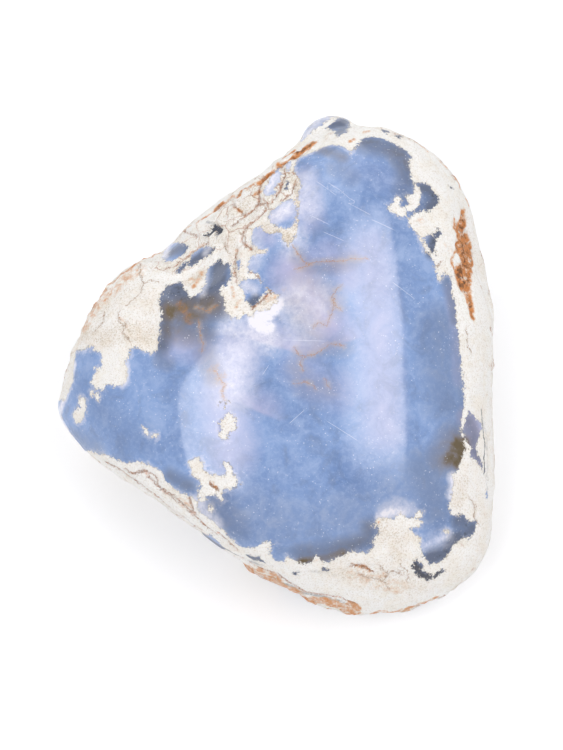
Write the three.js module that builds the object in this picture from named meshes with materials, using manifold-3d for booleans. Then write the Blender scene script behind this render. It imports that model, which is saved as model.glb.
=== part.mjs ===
// A rough piece of angelite: blue anhydrite in a chalky white rind, tumbled smooth on one broad face.
// Millimetres, +Z up. The stone is one solid. It is shaped with its polished face looking along +Z and
// the long way of the face along Y. Then it is leaned so that the face tips towards -Y, as it rests,
// and cut flat underneath. The origin is at the bottom centre of its box, on that flat.
import * as THREE from "three";
import { mergeVertices } from "three/addons/utils/BufferGeometryUtils.js";
import { ImprovedNoise } from "three/addons/math/ImprovedNoise.js";
import Module from "manifold-3d";

// Driving dimensions
const LEAN_DEG = 20; // how far the polished face leans from level
const FACE_CROWN = 15; // height of the polished face above the middle of the stone
const FACE_RADIUS_ACROSS = 78; // the face curves more across than along
const FACE_RADIUS_ALONG = 190;
const FACE_TILT_DEG = 4; // the face's own tilt away from the lean
const UNDERSIDE_DEPTH = 28; // depth of the underside below the middle, straight down as it rests
const UNDERSIDE_RADIUS_ACROSS = 130;
const UNDERSIDE_RADIUS_ALONG = 210;
const FLAT_CUT = 1; // how much of the underside the resting flat takes away
const CORNER_SHARPNESS = 11; // higher gives tighter rounding where two sides meet
const MESH_DETAIL = 19; // subdivisions of the starting icosahedron

// The stone's widest outline, seen square to the polished face, anticlockwise from the right. Each
// point has its place, how far its side falls in for each millimetre above the girth, the same for
// each millimetre below, and the height of the girth there.
const OUTLINE = [
  { x: 41.8, y: -4, above: 0.34, below: 0.35, girth: -9 },
  { x: 42.6, y: 13, above: 0.4, below: 0.35, girth: -10 },
  { x: 40.0, y: 24.2, above: 0.45, below: 0.3, girth: -11 },
  { x: 38.0, y: 33.4, above: 0.5, below: 0.3, girth: -11 },
  { x: 33.4, y: 41.2, above: 0.5, below: 0.3, girth: -11 },
  { x: 25.8, y: 47.2, above: 0.35, below: 0.25, girth: -11 },
  { x: 17.2, y: 50, above: 0.3, below: 0.25, girth: -11 },
  { x: 9.0, y: 48.4, above: 0.3, below: 0.25, girth: -11 },
  { x: 2.0, y: 45.4, above: 0.35, below: 0.3, girth: -10 },
  { x: -4.0, y: 40.4, above: 0.4, below: 0.35, girth: -10 },
  { x: -15.0, y: 33.4, above: 0.45, below: 0.4, girth: -9 },
  { x: -25.0, y: 24.6, above: 0.45, below: 0.5, girth: -8 },
  { x: -34.0, y: 19.2, above: 0.45, below: 0.6, girth: -7 },
  { x: -40.4, y: 9.4, above: 0.4, below: 0.7, girth: -6 },
  { x: -44.6, y: 0, above: 0.35, below: 0.8, girth: -5 },
  { x: -47.6, y: -9, above: 0.3, below: 0.8, girth: -4 },
  { x: -40.8, y: -16.2, above: 0.3, below: 0.7, girth: -4 },
  { x: -24.2, y: -26, above: 0.3, below: 0.5, girth: -4 },
  { x: -11.9, y: -34.9, above: 0.35, below: 0.5, girth: -4 },
  { x: -1.9, y: -42.4, above: 0.5, below: 0.6, girth: -4 },
  { x: 7.6, y: -48.2, above: 0.6, below: 0.7, girth: -4 },
  { x: 18.6, y: -52.6, above: 0.6, below: 0.7, girth: -4 },
  { x: 31.6, y: -53.2, above: 0.6, below: 0.7, girth: -4 },
  { x: 42.2, y: -45.8, above: 0.5, below: 0.6, girth: -5 },
  { x: 42.5, y: -34, above: 0.4, below: 0.5, girth: -7 },
  { x: 42.0, y: -21, above: 0.35, below: 0.4, girth: -8 },
];

// Broad flats that cut across the sides: which way each looks, and its distance from the middle.
const FLATS = [
  { name: "crackled slope", looks: new THREE.Vector3(-0.458, 0.523, 0.719), distance: 22.5 },
  { name: "left shoulder", looks: new THREE.Vector3(-0.72, -0.1, 0.69), distance: 31.5 },
  { name: "front slope", looks: new THREE.Vector3(0.05, -0.66, 0.75), distance: 34.2 },
];

// Lumps and hollows: rounded strokes between two places, each given roughly and met on the surface.
const RELIEF = [
  { name: "knob at the top edge", from: [8, 48, -12], to: [11, 49, -11], reach: 6, height: 3.4 },
  { name: "notch beside the knob", from: [15.5, 48, -6], to: [16.5, 49, -14], reach: 3.5, height: -0.7 },
  { name: "rusty pocket", from: [1.5, 44, -3], to: [4.5, 46, -6], reach: 3.2, height: -1.3 },
  { name: "stained hollow", from: [37, 30, -3], to: [39, 14, -5], reach: 4.2, height: -1.5 },
  { name: "right flank swelling", from: [43, -20, -6], to: [42, -36, -8], reach: 12, height: 0.8 },
  { name: "left lobe", from: [-36, 12, 0], to: [-30, 16, 0], reach: 11, height: 1.1 },
  { name: "saddle behind the lobe", from: [-24, 27, -8], to: [-15, 20, 6], reach: 7, height: -1.2 },
  { name: "crackle ridge", from: [-13, 31, 0], to: [0, 41, -1], reach: 4.5, height: 0.9 },
  { name: "lower left hollow", from: [-33, -21, -6], to: [-18, -31, -7], reach: 7, height: -1.4 },
  { name: "groove over the ledge", from: [-8, -37, -1], to: [10, -46, -1], reach: 3.6, height: -1 },
  { name: "ledge under the front", from: [-7, -42, -9], to: [16, -53, -10], reach: 4.2, height: 1.8 },
  { name: "front corner chip", from: [33, -47, 0], to: [38, -40, 0], reach: 6, height: -0.9 },
  { name: "hollow in the back", from: [6, 48, -22], to: [26, 46, -24], reach: 9, height: -1.8 },
  { name: "hollow underneath", from: [-28, 2, -20], to: [-14, -14, -20], reach: 11, height: -1.6 },
  { name: "break underneath", from: [34, -8, -26], to: [36, 16, -28], reach: 8, height: -1.4 },
];

// Gentle unevenness all over, each size of lump from its own stretch of the noise.
const LUMPS = [
  { wavelength: 27, height: 1.0, shift: 0 },
  { wavelength: 11, height: 0.5, shift: 7.3 },
  { wavelength: 6, height: 0.3, shift: 3.1 },
];

// The tumbled face keeps little of it. Facing is 1 where a spot looks the way the face does.
const FACE_SHARE = 0.06;
const FACE_EDGE_FACING = 0.82;
const FACE_MIDDLE_FACING = 0.96;

const LEAN = THREE.MathUtils.degToRad(LEAN_DEG);
const FACE_TILT = THREE.MathUtils.degToRad(FACE_TILT_DEG);

// The outline as a smooth closed curve, read back by compass angle.
const OUTLINE_STEPS = 360;

function closedCurve(pick) {
  const points = OUTLINE.map((p) => pick(p));
  return new THREE.CatmullRomCurve3(points, true, "centripetal");
}

function sampleOutline() {
  const places = closedCurve((p) => new THREE.Vector3(p.x, p.y, p.girth));
  const slopes = closedCurve((p) => new THREE.Vector3(p.above, p.below, 0));
  const rows = [];
  for (let i = 0; i < OUTLINE_STEPS; i++) {
    const place = places.getPoint(i / OUTLINE_STEPS);
    const slope = slopes.getPoint(i / OUTLINE_STEPS);
    rows.push({
      angle: Math.atan2(place.y, place.x),
      radius: Math.hypot(place.x, place.y),
      girth: place.z,
      above: slope.x,
      below: slope.y,
    });
  }
  return rows.sort((a, b) => a.angle - b.angle);
}

const sides = sampleOutline();

function sideAt(angle) {
  let next = sides.findIndex((row) => row.angle >= angle);
  if (next < 0) next = 0;
  const b = sides[next];
  const a = sides[(next + OUTLINE_STEPS - 1) % OUTLINE_STEPS];
  const span = (b.angle - a.angle + 2 * Math.PI) % (2 * Math.PI);
  const along = (angle - a.angle + 2 * Math.PI) % (2 * Math.PI);
  const share = span > 0 ? Math.min(along / span, 1) : 0;
  const mix = (key) => THREE.MathUtils.lerp(a[key], b[key], share);
  return { radius: mix("radius"), girth: mix("girth"), above: mix("above"), below: mix("below") };
}

// Each bounding surface gives, for a direction from the middle, 1 over the distance at which it is met.
function shallowDome(direction, { up, across, along, height, radiusAcross, radiusAlong }) {
  const a = direction.dot(across) ** 2 / (2 * radiusAcross) + direction.dot(along) ** 2 / (2 * radiusAlong);
  const b = direction.dot(up);
  return (b + Math.sqrt(b * b + 4 * a * height)) / (2 * height);
}

const face = {
  up: new THREE.Vector3(0, Math.sin(FACE_TILT), Math.cos(FACE_TILT)),
  across: new THREE.Vector3(1, 0, 0),
  along: new THREE.Vector3(0, Math.cos(FACE_TILT), -Math.sin(FACE_TILT)),
  height: FACE_CROWN,
  radiusAcross: FACE_RADIUS_ACROSS,
  radiusAlong: FACE_RADIUS_ALONG,
};

const underside = {
  up: new THREE.Vector3(0, -Math.sin(LEAN), -Math.cos(LEAN)),
  across: new THREE.Vector3(1, 0, 0),
  along: new THREE.Vector3(0, Math.cos(LEAN), -Math.sin(LEAN)),
  height: UNDERSIDE_DEPTH,
  radiusAcross: UNDERSIDE_RADIUS_ACROSS,
  radiusAlong: UNDERSIDE_RADIUS_ALONG,
};

function sideWalls(direction) {
  const side = sideAt(Math.atan2(direction.y, direction.x));
  const out = Math.hypot(direction.x, direction.y);
  const radius = side.radius * 2 ** (1 / CORNER_SHARPNESS); // makes up for rounding at the girth
  const upper = (out + side.above * direction.z) / (radius + side.above * side.girth);
  const lower = (out - side.below * direction.z) / (radius - side.below * side.girth);
  return [Math.max(upper, 0), Math.max(lower, 0)];
}

function flatCuts(direction) {
  return FLATS.map(({ looks, distance }) => Math.max(direction.dot(looks), 0) / distance);
}

function surfaceAlong(direction) {
  const met = [
    shallowDome(direction, face),
    shallowDome(direction, underside),
    ...sideWalls(direction),
    ...flatCuts(direction),
  ];
  const total = met.reduce((sum, value) => sum + value ** CORNER_SHARPNESS, 0);
  return total ** (-1 / CORNER_SHARPNESS);
}

// The starting sphere is squashed to the stone's proportions, so that its triangles come out even.
const PROPORTIONS = new THREE.Vector3(43, 48, 24);

function stoneGeometry() {
  const sphere = new THREE.IcosahedronGeometry(1, MESH_DETAIL);
  sphere.deleteAttribute("normal");
  sphere.deleteAttribute("uv");
  const geometry = mergeVertices(sphere, 1e-5);
  const places = geometry.getAttribute("position");
  const point = new THREE.Vector3();
  for (let i = 0; i < places.count; i++) {
    point.fromBufferAttribute(places, i).multiply(PROPORTIONS).normalize();
    point.multiplyScalar(surfaceAlong(point));
    places.setXYZ(i, point.x, point.y, point.z);
  }
  return geometry;
}

const strokes = RELIEF.map(({ from, to, reach, height }) => {
  const ends = [from, to].map((place) => {
    const direction = new THREE.Vector3(...place).normalize();
    return direction.clone().multiplyScalar(surfaceAlong(direction));
  });
  return { line: new THREE.Line3(...ends), reach, height };
});

function strokeHeight(point) {
  const nearest = new THREE.Vector3();
  return strokes.reduce((sum, { line, reach, height }) => {
    line.closestPointToPoint(point, true, nearest);
    const away = Math.min(nearest.distanceTo(point) / reach, 1);
    return sum + height * (1 - away * away) ** 2;
  }, 0);
}

const noise = new ImprovedNoise();

function lumpHeight(point, normal) {
  const onFace = THREE.MathUtils.smoothstep(normal.dot(face.up), FACE_EDGE_FACING, FACE_MIDDLE_FACING);
  const share = THREE.MathUtils.lerp(1, FACE_SHARE, onFace);
  return LUMPS.reduce((sum, { wavelength, height, shift }) => {
    const [x, y, z] = point.toArray().map((value) => value / wavelength + shift);
    return sum + share * height * noise.noise(x, y, z);
  }, 0);
}

function addRelief(geometry) {
  geometry.computeVertexNormals();
  const places = geometry.getAttribute("position");
  const normals = geometry.getAttribute("normal");
  const point = new THREE.Vector3();
  const normal = new THREE.Vector3();
  for (let i = 0; i < places.count; i++) {
    point.fromBufferAttribute(places, i);
    normal.fromBufferAttribute(normals, i);
    point.addScaledVector(normal, strokeHeight(point) + lumpHeight(point, normal));
    places.setXYZ(i, point.x, point.y, point.z);
  }
  geometry.deleteAttribute("normal");
  return geometry;
}

const wasm = await Module();
wasm.setup();

function solidOf(geometry) {
  return new wasm.Manifold(
    new wasm.Mesh({
      numProp: 3,
      vertProperties: new Float32Array(geometry.getAttribute("position").array),
      triVerts: new Uint32Array(geometry.index.array),
    }),
  );
}

function geometryOf(solid) {
  const mesh = solid.getMesh();
  return new THREE.BufferGeometry()
    .setAttribute("position", new THREE.BufferAttribute(mesh.vertProperties, 3))
    .setIndex(new THREE.BufferAttribute(mesh.triVerts, 1));
}

function boxSolid(width, depth, height, centreZ) {
  const box = new THREE.BoxGeometry(width, depth, height);
  box.deleteAttribute("normal");
  box.deleteAttribute("uv");
  return solidOf(mergeVertices(box.translate(0, 0, centreZ)));
}

// Leans the stone as it rests, cuts its resting flat and stands it on the origin.
function rested(geometry) {
  geometry.rotateX(LEAN);
  geometry.computeBoundingBox();
  const flatHeight = geometry.boundingBox.min.z + FLAT_CUT;
  const slabWidth = 300;
  const slabHeight = 40;
  const slab = boxSolid(slabWidth, slabWidth, slabHeight, flatHeight - slabHeight / 2);
  const cut = geometryOf(solidOf(geometry).subtract(slab));
  cut.computeBoundingBox();
  const centre = cut.boundingBox.getCenter(new THREE.Vector3());
  return cut.translate(-centre.x, -centre.y, -cut.boundingBox.min.z);
}

const stone = new THREE.Mesh(
  rested(addRelief(stoneGeometry())),
  new THREE.MeshStandardMaterial({ color: 0x8fa8d6, roughness: 0.35, metalness: 0 }),
);
stone.name = "angelite_stone";

const angelite = new THREE.Group();
angelite.add(stone);

export default angelite;
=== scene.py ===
import math

import bpy
import numpy as np
from mathutils import Matrix, Vector, noise
from mathutils.bvhtree import BVHTree


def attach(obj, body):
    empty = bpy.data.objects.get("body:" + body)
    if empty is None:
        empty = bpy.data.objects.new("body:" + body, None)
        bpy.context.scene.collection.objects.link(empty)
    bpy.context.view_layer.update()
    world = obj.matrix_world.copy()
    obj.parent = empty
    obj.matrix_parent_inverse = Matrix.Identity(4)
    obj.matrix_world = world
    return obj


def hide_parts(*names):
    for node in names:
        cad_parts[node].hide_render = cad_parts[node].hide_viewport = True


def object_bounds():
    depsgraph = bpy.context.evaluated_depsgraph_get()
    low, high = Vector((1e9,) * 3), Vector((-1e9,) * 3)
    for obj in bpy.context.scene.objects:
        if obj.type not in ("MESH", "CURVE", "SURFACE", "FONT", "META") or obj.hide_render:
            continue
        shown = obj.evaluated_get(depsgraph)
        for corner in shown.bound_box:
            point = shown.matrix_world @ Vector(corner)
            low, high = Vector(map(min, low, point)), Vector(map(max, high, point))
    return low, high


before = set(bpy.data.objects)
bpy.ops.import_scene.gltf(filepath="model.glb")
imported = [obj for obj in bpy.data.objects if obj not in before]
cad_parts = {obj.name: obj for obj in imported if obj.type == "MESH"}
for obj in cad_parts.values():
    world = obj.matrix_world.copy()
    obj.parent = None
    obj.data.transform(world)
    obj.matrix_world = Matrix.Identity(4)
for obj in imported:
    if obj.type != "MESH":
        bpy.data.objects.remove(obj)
cad_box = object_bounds()

# The camera stands over the low end of the stone and looks down on the tumbled face, square to it,
# through a long lens. The pixels in this file are those of the 563 x 750 photograph, and they are
# carried onto the stone through this same camera.
PHOTO_WIDTH = 563
PHOTO_HEIGHT = 750
LENS_MM = 100
SENSOR_HEIGHT_MM = 36
FOCAL_PIXELS = LENS_MM / SENSOR_HEIGHT_MM * PHOTO_HEIGHT
ELEVATION = math.radians(70)
CAMERA_DISTANCE = 417.0  # mm from the spot that shows in the middle of the frame
MIDDLE_SPOT = np.array([1.0, -3.95, 21.98])
TOWARDS_CAMERA = np.array([0.0, -math.cos(ELEVATION), math.sin(ELEVATION)])
PICTURE_RIGHT = np.array([1.0, 0.0, 0.0])
PICTURE_UP = np.cross(TOWARDS_CAMERA, PICTURE_RIGHT)
CAMERA_PLACE = MIDDLE_SPOT + CAMERA_DISTANCE * TOWARDS_CAMERA

bpy.ops.object.select_all(action="DESELECT")
bpy.ops.object.camera_add(location=CAMERA_PLACE / 1000, rotation=(math.pi / 2 - ELEVATION, 0, 0))
camera = bpy.context.object
camera.data.lens = LENS_MM
camera.data.sensor_fit = "VERTICAL"
camera.data.sensor_height = SENSOR_HEIGHT_MM
bpy.context.scene.camera = camera

# The stone is one lump of blue anhydrite whose outside turned to chalky white gypsum. Tumbling wore
# the rind off the broad upper face and left it smooth. Its form is the CAD solid's, made fine enough
# here to carry the grain, cracks and pits.
WELD_GAP = 2e-6
FINE_LEVELS = 2

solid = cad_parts["angelite_stone"]
stone = bpy.data.objects.new("angelite", solid.data.copy())
bpy.context.collection.objects.link(stone)
bpy.ops.object.select_all(action="DESELECT")
stone.select_set(True)
bpy.context.view_layer.objects.active = stone
bpy.ops.object.mode_set(mode="EDIT")
bpy.ops.mesh.select_all(action="SELECT")
bpy.ops.mesh.remove_doubles(threshold=WELD_GAP)
bpy.ops.object.mode_set(mode="OBJECT")
fine = stone.modifiers.new("fine surface", "SUBSURF")
fine.levels = FINE_LEVELS
fine.render_levels = FINE_LEVELS
bpy.ops.object.modifier_apply(modifier=fine.name)
bpy.ops.object.shade_smooth()

mesh = stone.data
count = len(mesh.vertices)
places = np.empty(count * 3)
mesh.vertices.foreach_get("co", places)
places = places.reshape(-1, 3) * 1000
normals = np.empty(count * 3)
mesh.vertices.foreach_get("normal", normals)
normals = normals.reshape(-1, 3)
facing = normals @ TOWARDS_CAMERA

offsets = places - MIDDLE_SPOT
pixel_scale = FOCAL_PIXELS / (CAMERA_DISTANCE - offsets @ TOWARDS_CAMERA)
pixel_x = PHOTO_WIDTH / 2 + offsets @ PICTURE_RIGHT * pixel_scale
pixel_y = PHOTO_HEIGHT / 2 - offsets @ PICTURE_UP * pixel_scale

surface = BVHTree.FromObject(stone, bpy.context.evaluated_depsgraph_get())
OUTLINE_MIDDLE = np.array([285.0, 370.0])
PULL_IN = 0.004  # share of the way to the middle that a pixel off the stone is moved at each try
PULL_TRIES = 60


def spot(pixel):
    """The place in millimetres, and the normal, of the stone where it shows at a pixel."""
    for attempt in range(PULL_TRIES):
        x, y = np.array(pixel) + (OUTLINE_MIDDLE - pixel) * PULL_IN * attempt
        sideways = PICTURE_RIGHT * (x - PHOTO_WIDTH / 2) - PICTURE_UP * (y - PHOTO_HEIGHT / 2)
        ray = Vector(sideways - TOWARDS_CAMERA * FOCAL_PIXELS).normalized()
        hit, normal = surface.ray_cast(Vector(CAMERA_PLACE / 1000), ray)[:2]
        if hit is not None:
            return np.array(hit) * 1000, np.array(normal)
    raise ValueError(f"pixel {pixel} is not on the stone")


def drawn(line, closed=False):
    """For each point of the stone, how far it is from a drawn line, and how far to one side of it."""
    knots = [spot(pixel) for pixel in line]
    if closed or len(knots) == 1:
        knots.append(knots[0])
    nearest = np.full(count, np.inf)
    side = np.zeros(count)
    for (start, normal), (end, _) in zip(knots, knots[1:]):
        along = end - start
        length = max(np.linalg.norm(along), 1e-6)
        share = np.clip((places - start) @ along / length**2, 0, 1)
        away = places - start - share[:, None] * along
        distance = np.linalg.norm(away, axis=1)
        closer = distance < nearest
        across = np.cross(normal, along) / length
        side = np.where(closer, away @ across, side)
        nearest = np.minimum(nearest, distance)
    return nearest, side


def within(outline):
    """How far each point of the stone is inside a closed outline of pixels, in mm, minus outside."""
    inside = np.zeros(count, bool)
    for (x0, y0), (x1, y1) in zip(outline, outline[1:] + outline[:1]):
        if y0 != y1:
            crosses = (y0 > pixel_y) != (y1 > pixel_y)
            inside ^= crosses & (pixel_x < (x1 - x0) * (pixel_y - y0) / (y1 - y0) + x0)
    distance, _ = drawn(outline, closed=True)
    return np.where(inside, distance, -distance)


def softly(marks):
    """One layer of soft marks, 0 far from them: each a strength, a reach in mm and a line of pixels."""
    layer = np.zeros(count)
    for strength, reach, line in marks:
        away = np.minimum(drawn(line)[0] / reach, 1)
        layer = np.maximum(layer, strength * (1 - away**2) ** 2)
    return layer


def keep(name, values):
    """Stores a value for each point of the stone, for the material to read."""
    mesh.attributes.new(name, "FLOAT", "POINT").data.foreach_set("value", values.astype(np.float32))


# Where the blue shows. The rind's edge runs in bays and frills around the tumbled face, and islands
# of blue lie in the crackled rind at the upper left.
TUMBLED_FACE = [
    (294, 166), (297, 159), (303, 156), (312, 152.5), (321, 148), (328, 145.5), (336, 145), (343, 147),
    (350, 152.5), (356, 147), (361, 141), (366, 137), (375, 137), (385, 139), (395, 144), (403, 148),
    (408, 152.5), (411, 157), (408, 162), (410, 170), (412, 178), (415, 183), (422, 181), (429, 184),
    (434, 192), (441, 198), (436, 204), (431, 210), (426, 211), (415, 212), (408, 219), (410, 226),
    (417, 235), (422, 243), (426, 252), (432, 258), (435, 268), (439, 280), (446, 275), (451, 277),
    (452, 287), (453, 296), (455, 306), (457, 319), (457, 332), (459, 346), (461, 362), (463, 385),
    (465, 400), (462, 414), (460, 428), (463, 438), (465, 448), (462, 459), (456, 470), (452, 473),
    (455, 484), (452, 494), (449, 504), (451, 516), (458, 515), (464, 516), (470, 522), (476, 523),
    (475, 530), (473, 537), (466, 537), (461, 539), (454, 542), (451, 549), (447, 556), (441, 561),
    (430, 563), (424, 558), (423, 553), (420, 546), (419, 537), (414, 532), (410, 529), (419, 527),
    (423, 523), (417, 519), (423, 512), (416, 512), (413, 518), (402, 516), (400, 511), (395, 518),
    (386, 519), (378, 519), (372, 526), (378, 528), (379, 532), (375, 537), (373, 549), (367, 554),
    (361, 552), (350, 552), (340, 557), (327, 562), (321, 560), (316, 554), (312, 562), (304, 565),
    (298, 562), (293, 559), (286, 556), (284, 562), (275, 560), (270, 554), (269, 548), (276, 543),
    (269, 541), (261, 545), (249, 548), (241, 547), (234, 542), (226, 534), (218, 525), (208, 518),
    (200, 511), (196, 503), (192, 496), (184, 494), (176, 490), (166, 480), (160, 471), (149, 464),
    (135, 461), (127, 463), (115, 458), (103, 454), (91, 452), (80, 450), (66, 444), (50, 425),
    (52, 402), (66, 399), (70, 389), (73, 381), (75, 360), (76, 351), (84, 351), (89, 347),
    (96, 350), (101, 352), (102, 366), (95, 368), (98, 371), (93, 376), (90, 383), (96, 390),
    (104, 390), (108, 383), (114, 387), (122, 386), (126, 379), (127, 369), (126, 361), (131, 355),
    (130, 348), (137, 346), (141, 352), (151, 353), (157, 350), (159, 342), (159, 331), (162, 321),
    (161, 310), (159, 300), (164, 290), (166, 285), (172, 285), (180, 282), (185, 290), (190, 298),
    (196, 296), (202, 291), (206, 283), (206, 275), (209, 268), (216, 262), (220, 259), (224, 265),
    (231, 263), (232, 273), (230, 281), (223, 286), (220, 294), (225, 300), (225, 310), (231, 317),
    (239, 318), (246, 315), (252, 317), (255, 311), (262, 312), (270, 309), (276, 302), (281, 295),
    (277, 292), (271, 292), (264, 284), (258, 276), (250, 271), (248, 266), (250, 257), (257, 253),
    (266, 252), (260, 250), (255, 246), (251, 238), (254, 229), (261, 224), (264, 232), (269, 236),
    (275, 232), (281, 232), (282, 241), (288, 245), (293, 239), (297, 231), (298, 218), (300, 207),
    (300, 201), (297, 198), (299, 190), (302, 182), (295, 175),
]
BLUE_ISLANDS = [
    [(295, 200), (297, 207), (296, 218), (292, 228), (286, 229), (279, 227), (272, 224), (269, 217),
     (272, 210), (281, 204), (286, 200)],
    [(264, 187), (267, 182), (272, 175), (279, 168), (281, 173), (279, 182), (275, 190), (269, 196),
     (264, 194)],
    [(285, 165), (290, 160), (293, 163), (290, 169), (287, 171)],
    [(284, 190), (285, 185), (288, 181), (288, 186), (286, 190)],
    [(162, 257), (165, 249), (172, 243), (180, 243), (189, 246), (186, 252), (180, 257), (172, 261),
     (165, 262)],
    [(189, 262), (192, 255), (201, 248), (209, 246), (215, 249), (211, 255), (203, 258), (196, 263),
     (190, 267)],
    [(176, 272), (180, 267), (185, 262), (190, 261), (184, 269), (180, 274)],
    [(203, 236), (208, 228), (213, 222), (218, 225), (221, 231), (217, 234), (213, 230), (209, 236)],
    [(243, 280), (250, 278), (258, 280), (266, 288), (265, 294), (259, 298), (255, 304), (250, 307),
     (245, 300), (244, 291), (240, 284)],
    [(237, 262), (240, 260), (242, 266), (240, 271), (237, 268)],
    [(438, 225), (441, 232), (437, 240), (435, 249), (436, 256), (431, 253), (426, 245), (423, 239),
     (428, 235), (435, 234)],
    [(411, 568), (416, 561), (424, 564), (423, 570), (427, 574), (435, 573), (444, 570), (438, 577),
     (428, 581), (422, 578), (416, 574)],
    [(300, 142), (304, 132), (311, 121), (319, 113), (330, 111), (335, 116), (328, 120), (322, 125),
     (315, 129), (308, 134), (303, 142)],
    [(327, 127), (333, 122), (337, 118), (343, 117), (349, 118), (349, 125), (346, 132), (342, 134),
     (338, 137), (335, 131), (329, 129)],
    [(381, 129), (389, 131), (387, 134)],
    [(395, 136), (399, 135), (404, 136), (399, 139)],
    [(449, 185), (452, 186), (454, 189), (451, 189)],
    [(464, 425), (466, 418), (469, 412), (475, 417), (480, 422), (482, 428), (480, 434), (477, 442),
     (475, 448), (480, 459), (485, 471), (480, 467), (474, 460), (470, 456), (471, 448), (466, 442),
     (463, 432)],
    [(486, 491), (488, 493), (487, 497), (486, 496)],
    [(202, 533), (211, 535), (218, 542), (226, 549), (221, 549), (210, 543)],
    [(246, 555), (260, 557), (264, 562), (253, 560)],
    [(293, 572), (298, 573), (297, 575), (292, 574)],
    [(323, 567), (328, 569), (327, 571), (322, 569)],
]
RIND_PATCHES = [
    [(386, 206), (392, 203), (397, 196), (401, 199), (399, 205), (405, 209), (408, 217), (401, 217),
     (394, 214), (389, 212)],
    [(404, 208), (408, 203), (406, 197), (413, 194), (415, 184), (419, 188), (421, 200), (420, 206),
     (415, 210), (409, 211)],
    [(73, 416), (75, 409), (80, 407), (78, 399), (83, 397), (87, 402), (86, 411), (84, 419), (78, 424),
     (75, 422)],
    [(90, 391), (93, 392), (92, 395), (90, 394)],
    [(96, 394), (100, 395), (99, 402), (97, 403), (96, 398)],
    [(142, 425), (146, 428), (149, 432), (158, 434), (156, 437), (150, 436), (146, 433), (143, 429)],
    [(218, 421), (224, 418), (229, 412), (234, 415), (238, 421), (237, 428), (230, 432), (228, 440),
     (222, 441), (218, 435), (220, 429)],
    [(218, 402), (221, 401), (220, 405), (217, 406)],
    [(225, 403), (229, 402), (227, 407), (224, 407)],
    [(188, 465), (189, 461), (194, 458), (199, 457), (202, 462), (204, 468), (211, 474), (219, 477),
     (224, 476), (227, 471), (223, 464), (229, 462), (233, 470), (234, 477), (241, 483), (236, 487),
     (232, 490), (229, 494), (226, 491), (221, 493), (222, 497), (225, 501), (221, 503), (218, 497),
     (214, 495), (208, 497), (204, 502), (200, 501), (197, 496), (198, 488), (201, 484), (198, 479),
     (191, 474), (192, 470)],
    [(209, 504), (212, 504), (213, 508), (211, 512), (208, 509)],
    [(442, 531), (445, 528), (449, 530), (447, 535), (444, 535)],
    [(425, 566), (430, 565), (438, 568), (436, 572), (428, 573)],
]

blue = within(TUMBLED_FACE)
for island in BLUE_ISLANDS:
    blue = np.maximum(blue, within(island))
for patch in RIND_PATCHES:
    blue = np.minimum(blue, -within(patch))

# On the sides that the photograph does not show, the rind is whole but for a few windows where it
# has chipped off.
HIDDEN_FACING = (0.0, 0.28)  # cosine away from the camera from the edge of its view to out of it
SIDE_FACING = (-0.62, -0.2)
EDGE_REACH = 6.0  # mm past which the drawn edge of the rind has no more say
WINDOW_WIDTH = 15.0
WINDOW_RISE = 7.0
BAY_WIDTH = 4.0
BAY_RISE = 7.5
WINDOW_LEVEL = 5.2
CLOUD_SEED = 8
CLOUD_BEND = 0.7  # share of its width that a cloud is bent
noise.seed_set(CLOUD_SEED)  # without it, noise_vector differs from run to run


def eased(values, low, high):
    """0 at low, 1 at high, and a smooth curve between."""
    share = np.clip((values - low) / (high - low), 0, 1)
    return share * share * (3 - 2 * share)


def clouded(width, detail, shift=0.0):
    """A cloudy pattern about -1 to 1 over the stone, with bent clouds of a width in millimetres."""
    pattern = []
    for place in places:
        start = Vector(place) / width + Vector((shift, shift, shift))
        bent = start + CLOUD_BEND * noise.noise_vector(start)
        pattern.append(noise.fractal(bent, 1.0, 2.0, detail))
    return np.array(pattern)


windows = clouded(WINDOW_WIDTH, 3) * WINDOW_RISE + clouded(BAY_WIDTH, 3, shift=11.0) * BAY_RISE
hidden = eased(-facing, *HIDDEN_FACING)
blue = np.clip(blue, -EDGE_REACH, EDGE_REACH) * (1 - hidden) + (windows - WINDOW_LEVEL) * hidden
keep("blue_mm", blue)
on_side = eased(-facing, *SIDE_FACING)
keep("on_side", on_side)


def strewn(width, shift, low, high, strength):
    """Clouds of a mark over the hidden sides, which come up where a cloudy pattern is low to high."""
    return strength * eased(clouded(width, 4, shift), low, high) * hidden


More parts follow.
